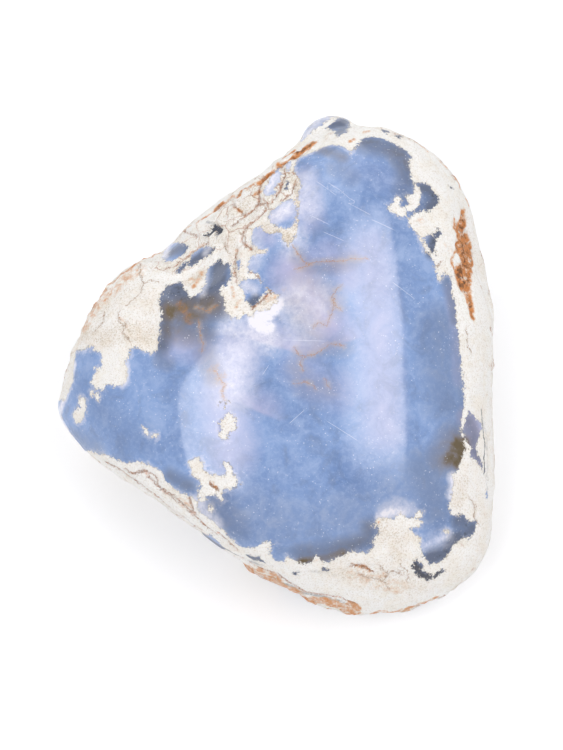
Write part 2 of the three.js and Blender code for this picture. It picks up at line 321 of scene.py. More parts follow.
# The blue's colours, as soft marks: strength, reach in mm, and where. Milk is white cloud in the
# blue, slate its dark grey parts, and smoke and rust are mostly iron that crept in along old cracks.
# Some marks are painted light: milk and lilac where the lamps show as reflections in the polished
# face, and slate as painted shade along the lower edge and in a pit. An old break leaves the blue
# paler on one side of it.
MILK_AND_REFLECTION = [
    (1.6, 2.8, [(256, 321), (265, 315), (276, 304)]),
    (1.3, 2.6, [(261, 326), (267, 327)]),
    (0.6, 5.0, [(258, 334), (268, 340)]),
    # Painted reflection: the pale patch where the light behind the stone shows in the polished face
    (0.4, 5.0, [(303, 182), (308, 208)]),
    (0.45, 4.0, [(298, 236), (292, 250)]),
    (0.7, 3.0, [(288, 208), (276, 216)]),
    (0.8, 2.4, [(268, 190), (276, 176)]),
    (0.6, 2.0, [(288, 166)]),
    (0.45, 3.6, [(254, 236), (252, 262)]),
    (0.55, 5.0, [(232, 328), (250, 332), (266, 340)]),
    (0.4, 8.0, [(238, 350), (232, 385)]),
    (0.5, 6.0, [(286, 306), (300, 296), (300, 318)]),
    (0.4, 7.0, [(300, 330), (322, 300)]),
    (1.0, 1.7, [(381, 516), (391, 511), (401, 513)]),
    (0.5, 3.0, [(386, 512), (396, 506), (408, 510)]),
    (0.5, 1.9, [(426, 546), (438, 541), (448, 534)]),
    (0.3, 3.4, [(430, 542), (444, 538)]),
    (0.8, 1.8, [(452, 477), (454, 486), (451, 494)]),
    (0.65, 3.0, [(197, 504), (204, 513), (214, 522)]),
    (0.95, 2.2, [(123, 366), (123, 380)]),
    (0.5, 2.0, [(245, 284), (254, 290)]),
    (0.8, 2.2, [(163, 257), (166, 249), (172, 244)]),
    (0.5, 1.8, [(212, 244), (206, 252)]),
    (0.45, 1.6, [(205, 272), (204, 284), (203, 294)]),
    (0.5, 2.0, [(211, 243), (218, 238)]),
    (0.62, 4.0, [(303, 138), (310, 128), (318, 120), (330, 114)]),
    (1.0, 1.4, [(62, 432), (60, 414), (66, 396), (74, 366)]),
]
SLATE_AND_SHADE = [
    (1.0, 4.4, [(221, 264), (217, 284), (206, 302)]),
    (0.5, 5.0, [(226, 275), (215, 310)]),
    (1.0, 5.0, [(169, 288), (180, 290), (188, 304)]),
    (0.8, 3.4, [(164, 298), (165, 330), (162, 345)]),
    (0.75, 3.4, [(168, 254), (178, 249), (187, 248)]),
    (0.9, 3.0, [(193, 262), (203, 256), (212, 250)]),
    (0.8, 1.6, [(178, 271), (185, 265)]),
    # Dark grey in the pit: partly the blue's slate, partly painted shade in the hollow
    (2.0, 2.8, [(205, 234), (212, 225), (219, 231)]),
    (0.5, 5.0, [(184, 318), (206, 322)]),
    (0.9, 3.4, [(425, 188), (437, 198), (431, 207)]),
    (0.5, 4.0, [(404, 190), (420, 210)]),
    (1.0, 2.4, [(437, 230), (434, 240), (432, 252)]),
    (0.62, 5.0, [(368, 142), (398, 150), (406, 168), (410, 180)]),
    # Painted shade: the next three marks darken the blue along its lower edge and lower right
    (0.9, 3.4, [(459, 520), (472, 528), (456, 540), (444, 553), (432, 558)]),
    (0.6, 3.6, [(300, 554), (330, 550), (352, 546), (372, 540), (371, 528)]),
    (0.4, 7.0, [(424, 468), (436, 490), (440, 510)]),
    (0.35, 9.0, [(440, 330), (448, 400)]),
    (0.35, 6.0, [(215, 505), (232, 528)]),
    (0.55, 2.6, [(447, 281), (453, 300), (455, 320)]),
    (0.4, 3.6, [(458, 335), (462, 385), (461, 430)]),
    (0.5, 3.0, [(170, 476), (188, 486)]),
    (0.3, 5.0, [(72, 440), (96, 450)]),
    (0.15, 7.0, [(84, 385), (110, 420), (140, 440)]),
    (1.0, 1.8, [(252, 303), (256, 299)]),
    (0.8, 3.2, [(334, 127), (344, 121), (340, 133)]),
    (0.3, 4.0, [(308, 132), (318, 120)]),
    (0.62, 3.4, [(468, 420), (475, 436), (471, 446), (482, 467)]),
    (1.5, 2.6, [(413, 566), (422, 576), (438, 575)]),
    (1.0, 1.6, [(382, 130), (388, 132)]),
    (1.0, 1.6, [(396, 137), (403, 137)]),
    (1.0, 1.6, [(450, 186), (453, 189)]),
    (1.0, 3.2, [(204, 535), (222, 548)]),
    (1.0, 2.0, [(248, 557), (262, 560)]),
    (1.0, 1.6, [(293, 573), (297, 574)]),
    (1.0, 1.6, [(323, 568), (327, 570)]),
    (1.0, 1.6, [(285, 188), (288, 183)]),
]
SMOKE = [
    (0.95, 4.6, [(174, 310), (192, 314), (224, 303)]),
    (0.6, 4.4, [(172, 330), (204, 338)]),
    (0.45, 4.0, [(200, 330), (206, 356), (214, 376)]),
    (0.4, 3.0, [(160, 360), (168, 364)]),
    (0.4, 3.4, [(298, 257), (308, 268), (330, 267), (352, 260)]),
    (0.3, 5.0, [(300, 280), (328, 292), (334, 304)]),
    (0.3, 6.0, [(296, 302), (310, 328), (318, 344)]),
    (0.3, 4.0, [(302, 354), (330, 348), (344, 347)]),
    (0.32, 5.0, [(298, 370), (306, 386), (326, 390)]),
    (0.6, 2.6, [(320, 150), (331, 152), (342, 158)]),
    (0.3, 4.0, [(334, 166), (350, 176)]),
    (1.3, 2.6, [(463, 443), (462, 452), (457, 463)]),
    (1.15, 4.4, [(458, 446), (451, 457)]),
    (0.7, 6.0, [(450, 443), (444, 456)]),
    (0.9, 1.8, [(300, 562), (314, 560), (328, 558), (342, 553)]),
    # A faint, wide smoke over the lower face, greyer and less blue towards the bottom
    (0.24, 14.0, [(225, 512), (300, 532), (350, 522), (410, 490)]),
    (0.3, 2.4, [(412, 566), (422, 576), (438, 575)]),
    (0.3, 3.0, [(400, 150), (408, 166)]),
    (0.28, 5.0, [(362, 146), (384, 150), (400, 158)]),
]
BLUE_RUST = [
    (0.9, 2.0, [(179, 305), (186, 313), (189, 323)]),
    (0.5, 1.6, [(164, 305), (170, 313)]),
    (0.7, 1.0, [(202, 309), (209, 312), (217, 307)]),
    (0.5, 1.0, [(199, 330), (202, 342)]),
    (0.5, 1.0, [(161, 361), (166, 363)]),
    (1.0, 0.8, [(220, 381), (225, 385), (222, 391), (223, 396)]),
    (0.75, 3.0, [(214, 370), (221, 377)]),
    (0.5, 1.8, [(280, 292), (288, 288)]),
    (0.9, 0.9, [(305, 263), (311, 264)]),
    (0.6, 1.4, [(333, 296), (334, 306)]),
    (0.6, 1.3, [(329, 317), (324, 324), (316, 325)]),
    (0.65, 1.0, [(299, 355), (308, 356), (316, 354)]),
    (0.55, 1.0, [(298, 382), (308, 381)]),
    (0.4, 0.9, [(326, 383), (328, 385)]),
    (1.0, 0.6, [(379, 523.5)]),
    (0.35, 1.2, [(312, 400), (318, 406)]),
]
LILAC_AND_REFLECTION = [
    (0.95, 7.0, [(292, 275), (312, 300), (326, 325)]),
    # Painted reflections: the next three marks lie where the left softbox, the right softbox and the light
    # behind the stone show in the polished face
    (0.55, 8.0, [(236, 350), (226, 400), (232, 450)]),
    (0.45, 7.0, [(370, 250), (380, 330), (384, 430)]),
    (0.45, 5.0, [(302, 176), (310, 220)]),
    (0.5, 6.0, [(330, 255), (350, 275)]),
    (0.5, 5.0, [(175, 345), (200, 350)]),
    (0.5, 3.0, [(272, 218), (290, 212)]),
    (0.45, 3.0, [(262, 232), (270, 240)]),
    (0.4, 2.4, [(450, 290), (456, 330), (458, 380)]),
    (1.0, 3.6, [(467, 418), (476, 430), (471, 446), (482, 467)]),
    (0.35, 7.0, [(302, 368), (318, 384), (338, 392)]),
    (0.12, 8.0, [(360, 165), (400, 185)]),
]
OLD_BREAKS = [
    (0.7, 8.0, [(262, 344), (275, 347.5), (288, 351), (297, 355), (309, 356), (319, 353), (329, 347),
                (341, 344)]),
    (0.6, 7.0, [(223, 392), (228, 398), (237, 404), (248, 409), (258, 413)]),
    (0.5, 6.0, [(287, 268), (300, 267), (316, 262), (340, 261), (360, 259)]),
]
BREAK_EDGE = (-0.25, 0.55)  # mm to the sides of a break between which the blue turns pale

lilac_and_reflection = softly(LILAC_AND_REFLECTION)
for strength, reach, line in OLD_BREAKS:
    away, side = drawn(line)
    pale = strength * (1 - np.minimum(away / reach, 1) ** 2) ** 2
    lilac_and_reflection = np.maximum(lilac_and_reflection, pale * eased(side, *BREAK_EDGE))
keep("lilac_and_reflection", lilac_and_reflection)
# On the hidden sides: width in mm, shift of the pattern, its low and high, and the mark's strength
SIDE_MILK = (7.0, 7.0, 0.0, 0.5, 0.8)
SIDE_SLATE = (9.0, 131.0, -0.2, 0.3, 1.0)
keep("milk_and_reflection", np.maximum(softly(MILK_AND_REFLECTION), strewn(*SIDE_MILK)))
keep("slate_and_shade", np.maximum(softly(SLATE_AND_SHADE), strewn(*SIDE_SLATE)))
keep("smoke", softly(SMOKE))

# The rind's own colours. Sand is where cream and tan grains show in the white. Rust is iron stain,
# heaviest in the hollow of the right flank, in the pocket at the top and along the ledge in front.
FLANK_STAIN = [
    (455, 216), (458, 224), (461, 219), (462, 208), (466, 209), (465, 222), (463, 233), (468, 232),
    (472, 246), (474, 261), (473, 282), (472, 294), (475, 308), (475, 323), (472, 318), (468, 303),
    (461, 285), (456, 272), (457, 267), (461, 263), (460, 257), (457, 253), (456, 245), (458, 240),
    (457, 230), (454, 228),
]
RIND_RUST = [
    (1.8, 2.1, [(299, 150), (304, 148), (310, 144)]),
    (1.6, 2.0, [(465, 249), (467, 263)]),
    (1.6, 2.3, [(461, 271), (463, 283)]),
    (0.9, 0.5, [(457, 248), (453, 256), (452, 264), (456, 271)]),
    (1.2, 1.4, [(465, 222), (463, 232)]),
    (1.2, 0.9, [(297, 153), (291, 157), (285, 161), (280, 164)]),
    (1.1, 0.7, [(294, 150), (288, 153), (282, 158)]),
    (0.7, 1.7, [(281, 163), (276, 170)]),
    (1.0, 1.1, [(274, 172), (268, 175), (262, 180)]),
    (0.8, 1.5, [(262, 179), (256, 184), (250, 186)]),
    (0.6, 1.0, [(262, 190), (254, 194)]),
    (0.9, 1.1, [(248, 188), (241, 190), (238, 196)]),
    (0.6, 1.3, [(233, 197), (226, 201)]),
    (1.0, 1.2, [(222, 203), (214, 209)]),
    (0.7, 1.0, [(210, 212), (204, 216), (197, 222)]),
    (0.6, 0.9, [(190, 226), (182, 232)]),
    (0.7, 1.5, [(156, 252), (143, 257)]),
    (0.8, 2.4, [(136, 264), (124, 272)]),
    (0.7, 1.4, [(118, 277), (108, 286)]),
    (0.8, 2.6, [(103, 293), (93, 306)]),
    (0.7, 1.5, [(88, 313), (80, 328)]),
    (0.46, 4.4, [(84, 327), (99, 305), (115, 287), (137, 271)]),
    (0.6, 0.8, [(416, 142), (422, 146), (428, 151)]),
    (0.55, 0.8, [(440, 162), (447, 169)]),
    (0.6, 0.9, [(454, 177), (463, 190), (471, 203)]),
    (1.0, 0.8, [(350, 141), (354, 139)]),
    (0.6, 0.8, [(364, 132), (369, 131)]),
    (0.8, 1.0, [(408, 611), (424, 607), (438, 600)]),
    (0.45, 1.2, [(352, 565), (366, 569)]),
    (0.35, 4.0, [(356, 572), (376, 582), (398, 588)]),
    (0.5, 0.8, [(384, 574), (388, 577)]),
    (0.7, 0.9, [(234, 206), (240, 211)]),
    (0.6, 1.2, [(194, 286), (198, 280), (201, 272)]),
    (0.5, 1.2, [(189, 278), (194, 281)]),
    (0.5, 1.0, [(234, 296), (232, 288)]),
    (0.45, 1.0, [(236, 306), (240, 300)]),
    (0.5, 1.0, [(268, 300), (275, 296)]),
    (0.4, 1.0, [(120, 318), (128, 326)]),
    (0.5, 0.9, [(181, 499), (188, 506)]),
    (0.8, 0.6, [(211, 483), (216, 489)]),
    (0.4, 1.0, [(418, 220), (424, 221)]),
    (0.35, 1.4, [(446, 246), (451, 250)]),
    (0.45, 0.9, [(314, 561), (318, 560)]),
]
SAND = [
    (0.8, 3.4, [(264, 228), (280, 236), (294, 240)]),
    (0.8, 2.4, [(296, 180), (298, 200), (296, 226)]),
    (0.7, 3.0, [(252, 250), (262, 252)]),
    (0.6, 4.4, [(230, 240), (238, 280)]),
    (0.8, 4.0, [(190, 280), (200, 275)]),
    (0.7, 3.0, [(262, 276), (280, 294), (262, 304)]),
    (0.5, 5.0, [(228, 300), (244, 310)]),
    (0.5, 6.0, [(236, 205), (254, 210)]),
    (0.7, 6.0, [(84, 334), (108, 338)]),
    (0.7, 7.0, [(120, 330), (146, 336)]),
    (0.55, 10.0, [(104, 312), (128, 292), (152, 300)]),
    (0.6, 6.0, [(384, 530), (402, 540), (398, 556)]),
    (0.55, 9.0, [(340, 572), (380, 576), (420, 588)]),
    (0.6, 5.0, [(462, 482), (458, 505)]),
    (0.45, 8.0, [(474, 470), (484, 520), (478, 556)]),
    (0.4, 6.0, [(430, 590), (460, 570)]),
    (0.4, 6.0, [(420, 224), (432, 262)]),
    (0.35, 8.0, [(478, 300), (484, 360), (482, 410)]),
    (0.4, 3.0, [(194, 462), (214, 480), (226, 484)]),
    (0.5, 2.6, [(224, 422), (228, 430)]),
    (0.4, 3.0, [(396, 204), (412, 202)]),
    (0.3, 8.0, [(250, 566), (300, 580)]),
]
LEDGE_STAIN = [
    (243, 560), (257, 569), (275, 577), (293, 589), (307, 597), (322, 598), (339, 600), (355, 606),
    (368, 613), (394, 613), (410, 609), (410, 622), (368, 622), (340, 612), (300, 602), (270, 592),
    (246, 572),
]
STAIN_EDGE = (-0.6, 0.5)  # mm inside its outline between which a stain comes up
STAIN_FACING = (-0.25, -0.05)  # cosine towards the camera between which the drawn stains come up
LEDGE_STRENGTH = 0.68
LEDGE_BAYS = 2.6  # mm that the ledge stain's edge wanders
LEDGE_BAY_WIDTH = 5.0
LEDGE_TONGUES = 0.5  # how unevenly it runs out below the ledge
LEDGE_TONGUE_WIDTH = 9.0
LEDGE_FACING = (-0.22, 0.1)
SIDE_RUST = (19.0, 83.0, 0.25, 0.6, 0.8)
SIDE_SAND = (11.0, 19.0, -0.1, 0.4, 0.8)
RIND_GREY = [
    (0.9, 0.9, [(270, 577), (288, 585), (302, 593), (318, 597)]),
    (0.9, 0.8, [(322, 598), (338, 601), (352, 606)]),
    (0.6, 1.2, [(250, 561), (262, 566)]),
    (0.4, 1.6, [(292, 571), (316, 572), (336, 576)]),
    (0.5, 1.0, [(184, 516), (206, 536), (222, 550)]),
    (0.5, 1.4, [(484, 420), (488, 450), (487, 490)]),
    (0.8, 0.7, [(206, 221), (214, 224), (220, 228), (216, 238)]),
    (0.35, 2.4, [(322, 138), (336, 140)]),
]
flank_stain = eased(within(FLANK_STAIN), *STAIN_EDGE)
ledge_inside = within(LEDGE_STAIN) + LEDGE_BAYS * clouded(LEDGE_BAY_WIDTH, 4, shift=43.0)
ledge_facing = facing + LEDGE_TONGUES * clouded(LEDGE_TONGUE_WIDTH, 4, shift=23.0)
ledge_stain = LEDGE_STRENGTH * eased(ledge_inside, *STAIN_EDGE) * eased(ledge_facing, *LEDGE_FACING)
seen_stain = np.maximum(flank_stain, ledge_stain) * eased(facing, *STAIN_FACING)
stain = np.maximum.reduce([softly(RIND_RUST), seen_stain, strewn(*SIDE_RUST)])
keep("grey", softly(RIND_GREY))
keep("rust", np.maximum(stain, softly(BLUE_RUST)))
keep("sand", np.maximum(softly(SAND), strewn(*SIDE_SAND)))

# Cracks run through the crackled rind, and hairlines where old breaks in the blue healed. Both are
# drawn by which side of the line a point is on, so that they stay fine between the mesh's points.
RIND_CRACKS = [
    [(300, 153), (291, 158), (283, 163), (284, 175), (281, 183), (278, 191), (271, 201), (258, 203),
     (244, 215), (233, 224)],
    [(262, 178), (260, 184), (258, 193), (258, 203)],
    [(232, 203), (238, 210), (244, 215)],
    [(265, 208), (257, 218), (250, 224), (244, 229), (241, 241), (250, 248)],
    [(236, 249), (235, 260), (234, 272), (236, 280)],
    [(295, 183), (290, 192), (282, 199)],
    [(168, 268), (181, 260), (195, 249), (206, 243)],
    [(219, 206), (206, 215), (196, 221)],
    [(250, 271), (262, 279), (271, 291), (261, 301), (253, 307)],
    [(174, 237), (184, 231), (196, 236)],
    [(296, 155), (280, 167), (268, 176), (256, 184)],
    [(126, 471), (132, 474), (143, 471), (155, 477), (158, 487)],
    [(160, 491), (172, 495)],
    [(148, 478), (166, 494), (184, 508), (202, 524), (214, 534)],
    [(136, 482), (158, 498), (176, 514)],
    [(107, 464), (120, 472), (136, 482)],
    [(178, 501), (187, 510), (193, 514), (189, 499)],
    [(218, 534), (226, 542), (235, 549)],
    [(243, 559), (257, 567), (275, 574), (293, 586), (307, 593), (322, 596), (339, 598), (354, 604)],
    [(211, 484), (216, 489)],
    [(352, 566), (362, 567), (372, 572)],
]
HAIR_CRACKS = [
    [(119, 312), (119, 320), (123, 326), (123, 333), (129, 340)],
    [(123, 326), (127, 322)],
    [(128, 304), (134, 298), (141, 291), (143, 283), (140, 274), (140, 265)],
    [(143, 283), (150, 279), (157, 281)],
    [(96, 330), (103, 322), (104, 314)],
    [(380, 566), (386, 574), (383, 581), (388, 588)],
    [(386, 574), (394, 571), (400, 574)],
    [(402, 566), (409, 572), (408, 580)],
    [(360, 574), (368, 579), (378, 580)],
    [(430, 262), (437, 266), (441, 262)],
    [(466, 330), (468, 345), (471, 352)],
    [(470, 498), (476, 506), (474, 516), (478, 524)],
    [(240, 232), (246, 238), (245, 246)],
    [(262, 204), (266, 209), (272, 209)],
    [(226, 238), (224, 246), (228, 252)],
]
DARK_CRACKS = [
    [(482, 412), (483, 425), (484, 436), (486, 445), (484, 458), (484.5, 471)],
    [(226, 549), (237, 555)],
]
HEALED_CRACKS = [
    [(294, 247), (299, 255), (304, 262), (309, 264), (319, 262), (330, 261), (341, 261), (352, 259),
     (366, 259)],
    [(309, 264), (303, 268), (297, 269)],
    [(341, 286), (335, 291), (332, 298), (335, 305), (331, 312), (329, 319), (327, 325), (320, 323),
     (315, 326)],
    [(335, 305), (340, 309)],
    [(296, 350), (299, 355), (304, 357), (311, 355), (318, 353), (323, 349), (328, 345), (335, 344),
     (343, 346)],
    [(301, 357), (300, 364), (303, 370)],
    [(295, 383), (301, 382), (306, 381), (311, 384), (315, 388)],
    [(326, 381), (329, 386)],
    [(199, 322), (200, 334), (203, 344), (202, 350)],
    [(213, 368), (217, 375), (221, 382), (225, 385), (222, 391), (224, 398)],
    [(196, 307), (206, 311), (216, 306)],
]
SCRATCHES = [
    [(319, 183), (333, 193)],
    [(332, 185), (340, 190), (349, 198), (358, 203)],
    [(350, 204), (367, 213)],
    [(375, 221), (392, 229)],
    [(326, 233), (342, 240)],
    [(314, 217), (326, 223)],
    [(395, 284), (411, 296)],
    [(287, 340), (322, 341)],
    [(330, 423), (338, 428), (355, 439)],
    [(292, 421), (301, 413)],
    [(265, 371), (267, 368)],
    [(203, 496), (208, 500)],
]
LINE_REACH = 1.3  # mm past which a drawn line has no say


def engraved(lines, name):
    """Stores, for a set of lines, the side each point is on and how near it is. Gives the distance."""
    nearest = np.full(count, np.inf)
    side = np.zeros(count)
    for line in lines:
        distance, across = drawn(line)
        side = np.where(distance < nearest, across, side)
        nearest = np.minimum(nearest, distance)
    keep(name + "_side", side)
    keep(name + "_near", np.clip(1 - nearest / LINE_REACH, 0, 1))
    return nearest


crack_distance = engraved(RIND_CRACKS, "crack")
engraved(HAIR_CRACKS, "hair")
engraved(DARK_CRACKS, "gap")
engraved(HEALED_CRACKS, "healed")
engraved(SCRATCHES, "scratch")

# The relief in the rind. Tumbling wears soft gypsum a little below the blue, and leaves it grainy.
RIND_DROP = 0.1
GRAIN_WIDTH = 2.0
GRAIN_HEIGHT = 0.16
LUMP_WIDTH = 5.5
LUMP_HEIGHT = 0.5
PLAIN_LUMPS = 0.35  # share of that height where the rind isn't crackled
RIND_EDGE = (-0.1, 0.9)  # mm outside the blue between which the rind's relief comes up
BELOW_EDGE = (-0.1, 0.25)  # cosine away from the camera between which the rough sides begin
SIDE_CRACKLE = 0.45
SIDE_ROUGHNESS = 1.1
SIDE_DROP = 0.1
CHIP_DEPTH = 0.6
CRACK_DEPTH = 0.34
CRACK_WIDTH = 0.55
PIT_DEPTH = 1.2
STAIN_DEPTH = 0.4
STAIN_GRAIN = 0.45
FLAT_CLEARANCE = 0.5  # mm above the resting flat below which nothing is moved
BOX_CLEARANCE = 0.02  # mm that the relief keeps inside the solid's own box
PITS = [(1.0, 1.6, [(208, 231), (213, 226), (218, 229)]), (0.5, 1.0, [(302, 149), (307, 146)])]
CRACKLED_PART = [(1.0, 11.0, [(170, 262), (205, 240), (236, 218), (262, 196), (288, 176)])]

in_rind = eased(-blue, *RIND_EDGE)
crackled = np.maximum(softly(CRACKLED_PART), SIDE_CRACKLE * on_side)
keep("crackled", crackled)
grain = clouded(GRAIN_WIDTH, 3, shift=31.0)
lumps = clouded(LUMP_WIDTH, 3, shift=57.0)
below_edge = eased(-facing, *BELOW_EDGE)
lumpiness = in_rind * (PLAIN_LUMPS + (1 - PLAIN_LUMPS) * crackled) + SIDE_ROUGHNESS * below_edge
rise = -RIND_DROP * in_rind
rise += in_rind * (1 + below_edge) * GRAIN_HEIGHT * grain
rise += lumpiness * LUMP_HEIGHT * lumps
rise -= SIDE_DROP * below_edge
rise -= CHIP_DEPTH * hidden * (1 - in_rind)
rise -= CRACK_DEPTH * np.exp(-((crack_distance / CRACK_WIDTH) ** 2)) * in_rind
rise -= PIT_DEPTH * softly(PITS)
rise -= STAIN_DEPTH * flank_stain
rise += STAIN_GRAIN * stain * in_rind * grain
rise *= eased(places[:, 2], 0, FLAT_CLEARANCE)
low_corner, high_corner = (np.array(corner) * 1000 for corner in cad_box)
left = np.where(normals > 0, high_corner - places, places - low_corner) - BOX_CLEARANCE
rise = np.minimum(rise, (left / np.maximum(np.abs(normals), 1e-3)).min(axis=1))
places += normals * rise[:, None]
mesh.vertices.foreach_set("co", (places / 1000).ravel())
mesh.update()

# Anhydrite, tumbled to a satin gloss: pale cloudy blue with some depth, fine white flecks and old
# scratches. Its gypsum rind is as dull as chalk, and takes sand and iron stain between its grains.
BLUE_DEEP = "#728EBF"
BLUE_LIGHT = "#85A2D3"
BLUE_FELT = "#AEC1E4"
# Lilac and milk also colour the painted reflections, and the two slates the painted shade
LILAC_AND_REFLECTION_COLOUR = "#BCB8D6"
MILK_AND_REFLECTION_COLOUR = "#F1F0FA"
SLATE_AND_SHADE_COLOUR = "#5E677D"
SLATE_AND_SHADE_DARK = "#3F434E"
SMOKE_COLOUR = "#77674F"
SMOKE_DARK = "#5E4F2E"
RUST_PALE = "#E2BC98"
RUST_COLOUR = "#D98B4B"
RUST_DARK = "#6F4B34"
FLECK_COLOUR = "#F2F5FD"
CHALK_COLOUR = "#FEFDFB"
CREAM_COLOUR = "#FAF6EF"
SAND_COLOUR = "#B29D78"
BLUSH_COLOUR = "#E6CFB9"
CRACK_COLOUR = "#A9622C"
HAIR_COLOUR = "#B78A62"
GAP_COLOUR = "#62646C"
GREY_COLOUR = "#8D8F95"
HEALED_COLOUR = "#C4B2A2"
HEALED_LINE = "#B07F4C"

GRAINS = {  # width in mm, detail, roughness, distortion
    "edge": (2.0, 5, 0.7, 0.0),
    "frill": (0.6, 4, 0.75, 0.4),
    "sand": (0.32, 3, 0.7, 0.0),
    "speck": (0.8, 4, 0.7, 0.0),
    "clump": (4.2, 5, 0.65, 0.3),
    "cloud": (17.0, 3, 0.5, 0.3),
    "wisp": (5.5, 6, 0.65, 0.6),
    "felt": (0.9, 5, 0.8, 0.5),
    "crumb": (1.3, 6, 0.75, 0.2),
    "seam": (15.0, 7, 0.62, 0.5),
}


def linear(hex_colour):
    """The linear colour that an sRGB hex value stands for."""
    parts = [int(hex_colour[i:i + 2], 16) / 255 for i in (1, 3, 5)]
    return [p / 12.92 if p <= 0.04045 else ((p + 0.055) / 1.055) ** 2.4 for p in parts] + [1.0]


def add(tree, kind, inputs=(), output=0, **settings):
    """Adds a node with its settings, sets or links its inputs, and gives one of its outputs."""
    node = tree.nodes.new("ShaderNode" + kind)
    for name, value in settings.items():
        setattr(node, name, value)
    for name, value in inputs.items() if isinstance(inputs, dict) else enumerate(inputs):
        if isinstance(value, bpy.types.NodeSocket):
            tree.links.new(value, node.inputs[name])
        else:
            node.inputs[name].default_value = value
    return node.outputs[output] if len(node.outputs) else None


angelite = bpy.data.materials.new("Anhydrite, tumbled, with gypsum rind")
angelite.use_nodes = True
tree = angelite.node_tree
tree.nodes.clear()
place = add(tree, "TexCoord", output="Object")
marks = {
    name: add(tree, "Attribute", output="Fac", attribute_name=name)
    for name in ("blue_mm", "on_side", "lilac_and_reflection", "milk_and_reflection", "slate_and_shade", "smoke", "rust", "sand", "grey",
                 "crackled", "crack_side", "crack_near", "hair_side", "hair_near", "gap_side",
                 "gap_near", "healed_side", "healed_near", "scratch_side", "scratch_near")
}
grains = {
    name: add(tree, "TexNoise", {
        "Vector": place, "Scale": 1000 / width, "Detail": detail, "Roughness": rough, "Distortion": bend,
    })
    for name, (width, detail, rough, bend) in GRAINS.items()
}

# The edge of the rind, frilled by its grain at two sizes. The blue is milky along parts of it, and
# sand gathers on its other side.
EDGE_BAYS = 2.6  # mm of wander from one end of the grain's range to the other
EDGE_FRILLS = 2.4
EDGE_MIDDLE = (EDGE_BAYS + EDGE_FRILLS) / 2
EDGE_WIDTH = 0.07
MILKY_WIDTH = 1.5
SANDY_WIDTH = 1.3
bays = add(tree, "Math", (grains["edge"], EDGE_BAYS, marks["blue_mm"]), operation="MULTIPLY_ADD")
edge = add(tree, "Math", (grains["frill"], EDGE_FRILLS, bays), operation="MULTIPLY_ADD")
blueness = add(tree, "MapRange", (edge, EDGE_MIDDLE - EDGE_WIDTH, EDGE_MIDDLE + EDGE_WIDTH))
marks["milky_edge"] = add(tree, "MapRange", (edge, EDGE_MIDDLE + MILKY_WIDTH, EDGE_MIDDLE))
marks["sandy_edge"] = add(tree, "MapRange", (edge, EDGE_MIDDLE - SANDY_WIDTH, EDGE_MIDDLE))
marks["everywhere"] = 1.0


def tinted(colour, tints):
    """Lays tints over a colour in turn, each broken up by its grain."""
    for mark, grain_name, contrast, start, full, most, tint in tints:
        steady = 1 - contrast / 2
        broken = add(tree, "Math", (grains[grain_name], contrast, steady), operation="MULTIPLY_ADD")
        strength = add(tree, "Math", (marks[mark], broken), operation="MULTIPLY")
        share = add(tree, "MapRange", (strength, start, full, 0.0, most))
        colour = add(tree, "Mix", {0: share, 6: colour, 7: linear(tint)}, output=2, data_type="RGBA")
    return colour


LINE_EDGE = (1.6, 0.6)  # times half a line's width between which it comes up
LINE_BREAKS = 2.4  # how strongly the grain breaks a line up
LINE_ENDS = (0.3, 0.7)


def lined(colour, lines):
    """Draws fine lines over a colour, which wander and break up with the grain. Gives their share too."""
    everywhere = 0.0
    for name, half_width, wander, most, line_colour in lines:
        bent = add(tree, "Math", (grains["felt"], wander, marks[name + "_side"]), operation="MULTIPLY_ADD")
        off_line = add(tree, "Math", (bent, wander / 2), operation="SUBTRACT")
        away = add(tree, "Math", (off_line,), operation="ABSOLUTE")
        narrow = add(tree, "MapRange", (away, half_width * LINE_EDGE[0], half_width * LINE_EDGE[1]))
        steady = 1 - LINE_BREAKS / 2
        broken = add(tree, "Math", (grains["crumb"], LINE_BREAKS, steady), operation="MULTIPLY_ADD")
        near = add(tree, "Math", (marks[name + "_near"], broken), operation="MULTIPLY")
        reached = add(tree, "MapRange", (near, *LINE_ENDS, 0.0, most))
        share = add(tree, "Math", (narrow, reached), operation="MULTIPLY")
        ink = linear(line_colour)
        colour = add(tree, "Mix", {0: share, 6: colour, 7: ink}, output=2, data_type="RGBA")
        everywhere = add(tree, "Math", (everywhere, share), operation="MAXIMUM")
    return colour, everywhere


# Each tint: the mark, the grain that breaks it up and how much, the values where it starts and is
# full, how much of it shows at most, and its colour
BLUE_TINTS = [
    ("everywhere", "cloud", 1.0, 0.85, 1.15, 1.0, BLUE_LIGHT),
    ("everywhere", "felt", 1.0, 0.96, 1.12, 0.3, BLUE_FELT),
    ("everywhere", "wisp", 1.0, 1.0, 1.16, 0.4, BLUE_FELT),
    ("everywhere", "wisp", 1.0, 0.98, 0.86, 0.25, SLATE_AND_SHADE_COLOUR),
    ("milky_edge", "clump", 3.0, 0.5, 1.5, 0.6, MILK_AND_REFLECTION_COLOUR),
    # The lilac, slate and milk tints also lay in the painted reflections and painted shade marked above
    ("lilac_and_reflection", "wisp", 1.6, 0.05, 1.0, 0.9, LILAC_AND_REFLECTION_COLOUR),
    ("slate_and_shade", "wisp", 1.6, 0.05, 0.85, 0.95, SLATE_AND_SHADE_COLOUR),
    ("slate_and_shade", "crumb", 3.0, 1.0, 1.4, 0.8, SLATE_AND_SHADE_DARK),
    ("milk_and_reflection", "crumb", 3.0, 0.05, 1.0, 0.97, MILK_AND_REFLECTION_COLOUR),
    ("smoke", "wisp", 2.0, 0.1, 1.05, 0.85, SMOKE_COLOUR),
    ("smoke", "wisp", 2.6, 0.9, 1.25, 0.8, SMOKE_DARK),
    ("rust", "crumb", 5.0, 0.5, 1.6, 0.75, HEALED_LINE),
    ("rust", "felt", 5.0, 0.9, 1.5, 0.5, RUST_DARK),
    ("healed_near", "crumb", 4.0, 0.3, 1.5, 0.55, HEALED_COLOUR),
]
